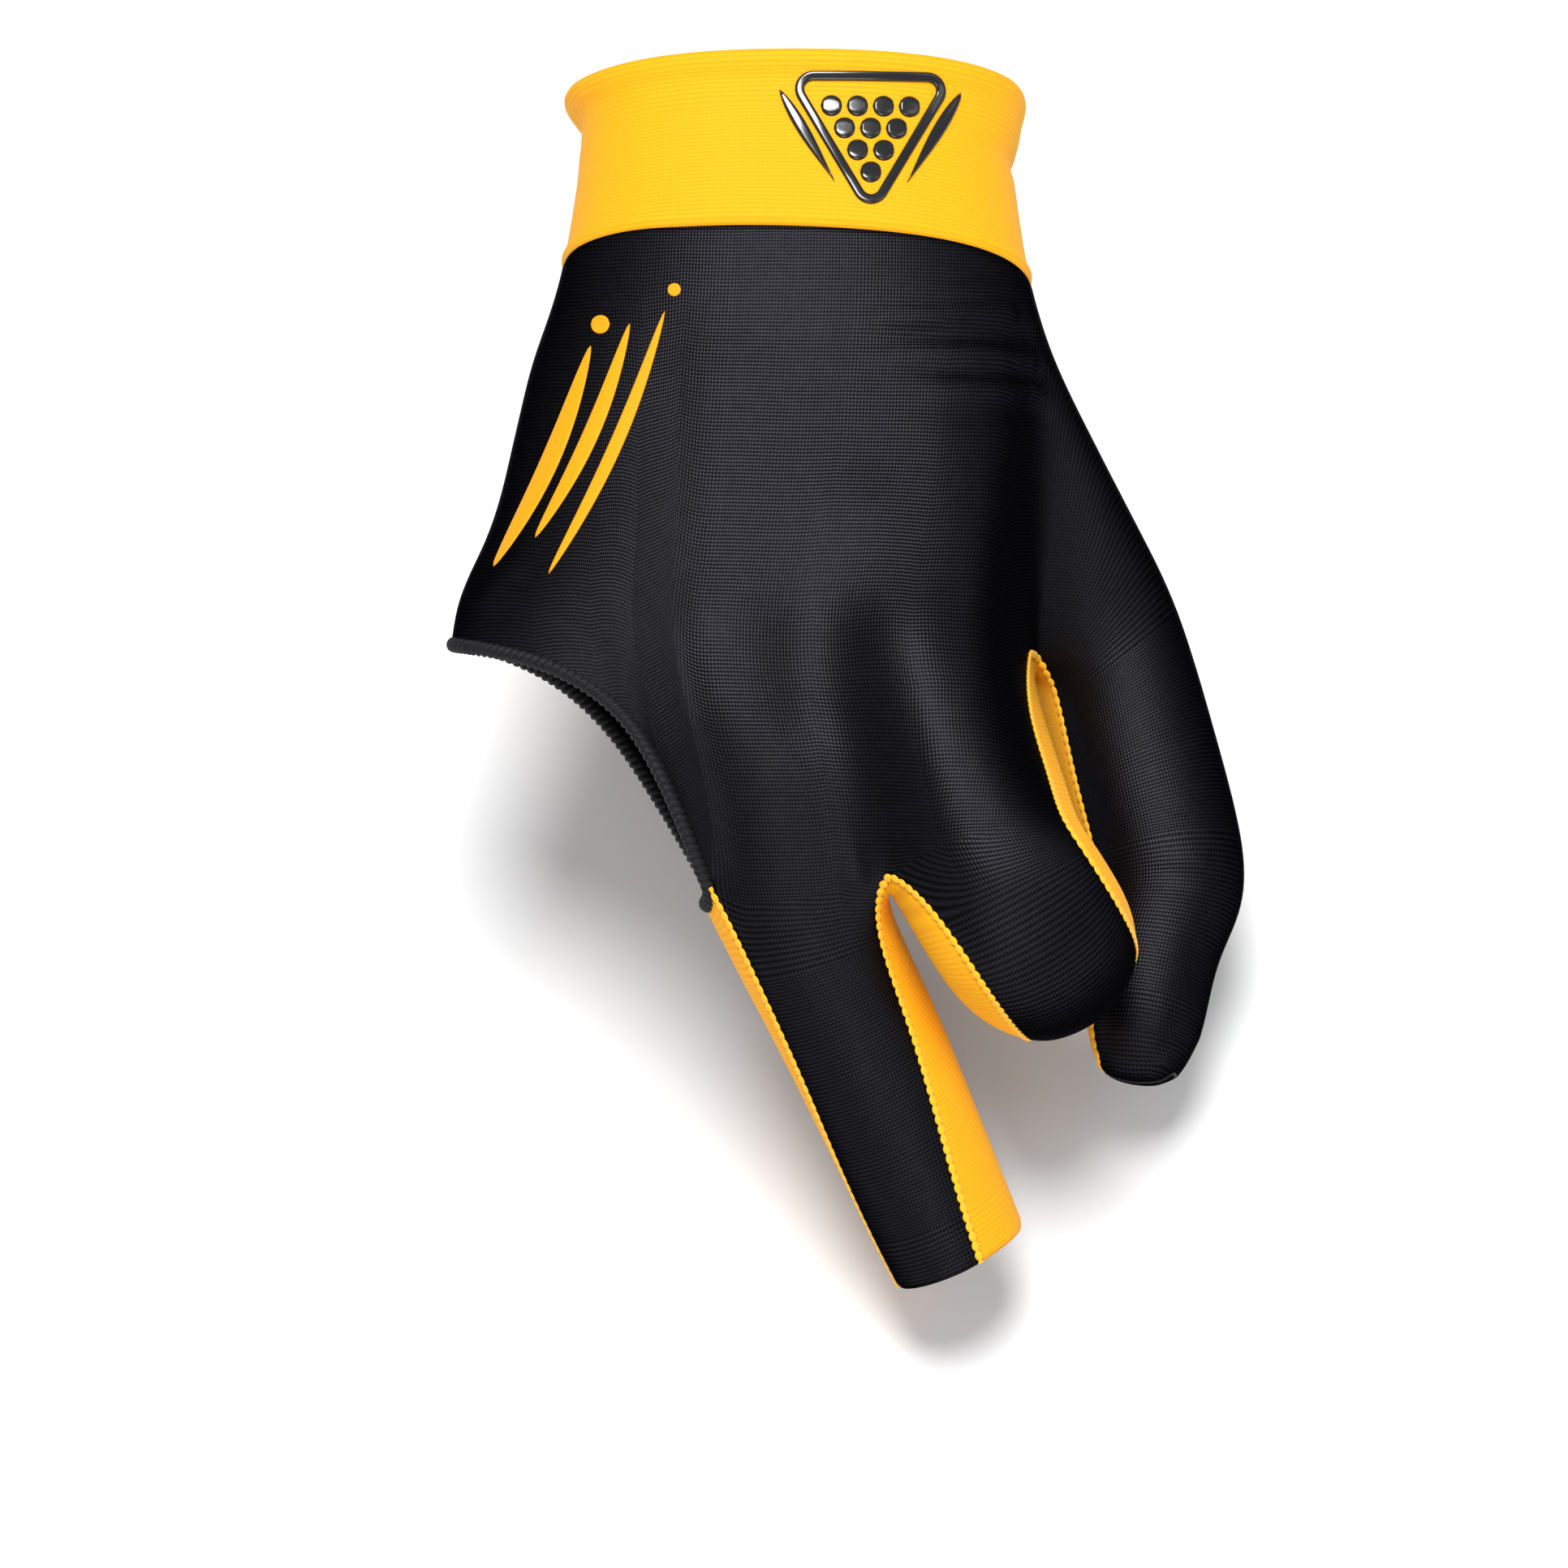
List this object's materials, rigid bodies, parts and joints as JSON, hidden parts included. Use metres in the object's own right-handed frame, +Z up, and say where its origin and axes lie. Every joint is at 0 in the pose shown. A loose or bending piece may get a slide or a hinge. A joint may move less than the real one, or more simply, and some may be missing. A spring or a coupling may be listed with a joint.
{
  "type": "billiard bridge glove",
  "caption": "Open-sided stretch glove for the bridging hand, in its worn curl: closed thumb and index, cut-off middle finger, bare ring and little fingers, deep wristband.",
  "frame": {"origin": "middle of the wrist opening, at the wristband's rim", "axes": "+Y from the fingertips towards the forearm, +X to the thumb side, +Z up from the table the hand bridges on"},
  "size_m": [0.1138, 0.1699, 0.0863],
  "materials": {
    "wristband": "matte ribbed stretch knit",
    "back_panel": "smooth stretch knit with a low sheen",
    "palm_panel": "smooth stretch knit, matte",
    "index_middle_strip": "matte stretch knit",
    "thumb_index_strip": "matte stretch knit",
    "middle_side_strip": "matte stretch knit",
    "opening_hem": "overlocked thread"
  },
  "bodies": {
    "root": {"wristband": "wristband", "back_panel": "back_panel", "palm_panel": "palm_panel", "index_middle_strip": "index_middle_strip", "thumb_index_strip": "thumb_index_strip", "middle_side_strip": "middle_side_strip", "opening_hem": "opening_hem"}
  },
  "joints": []
}
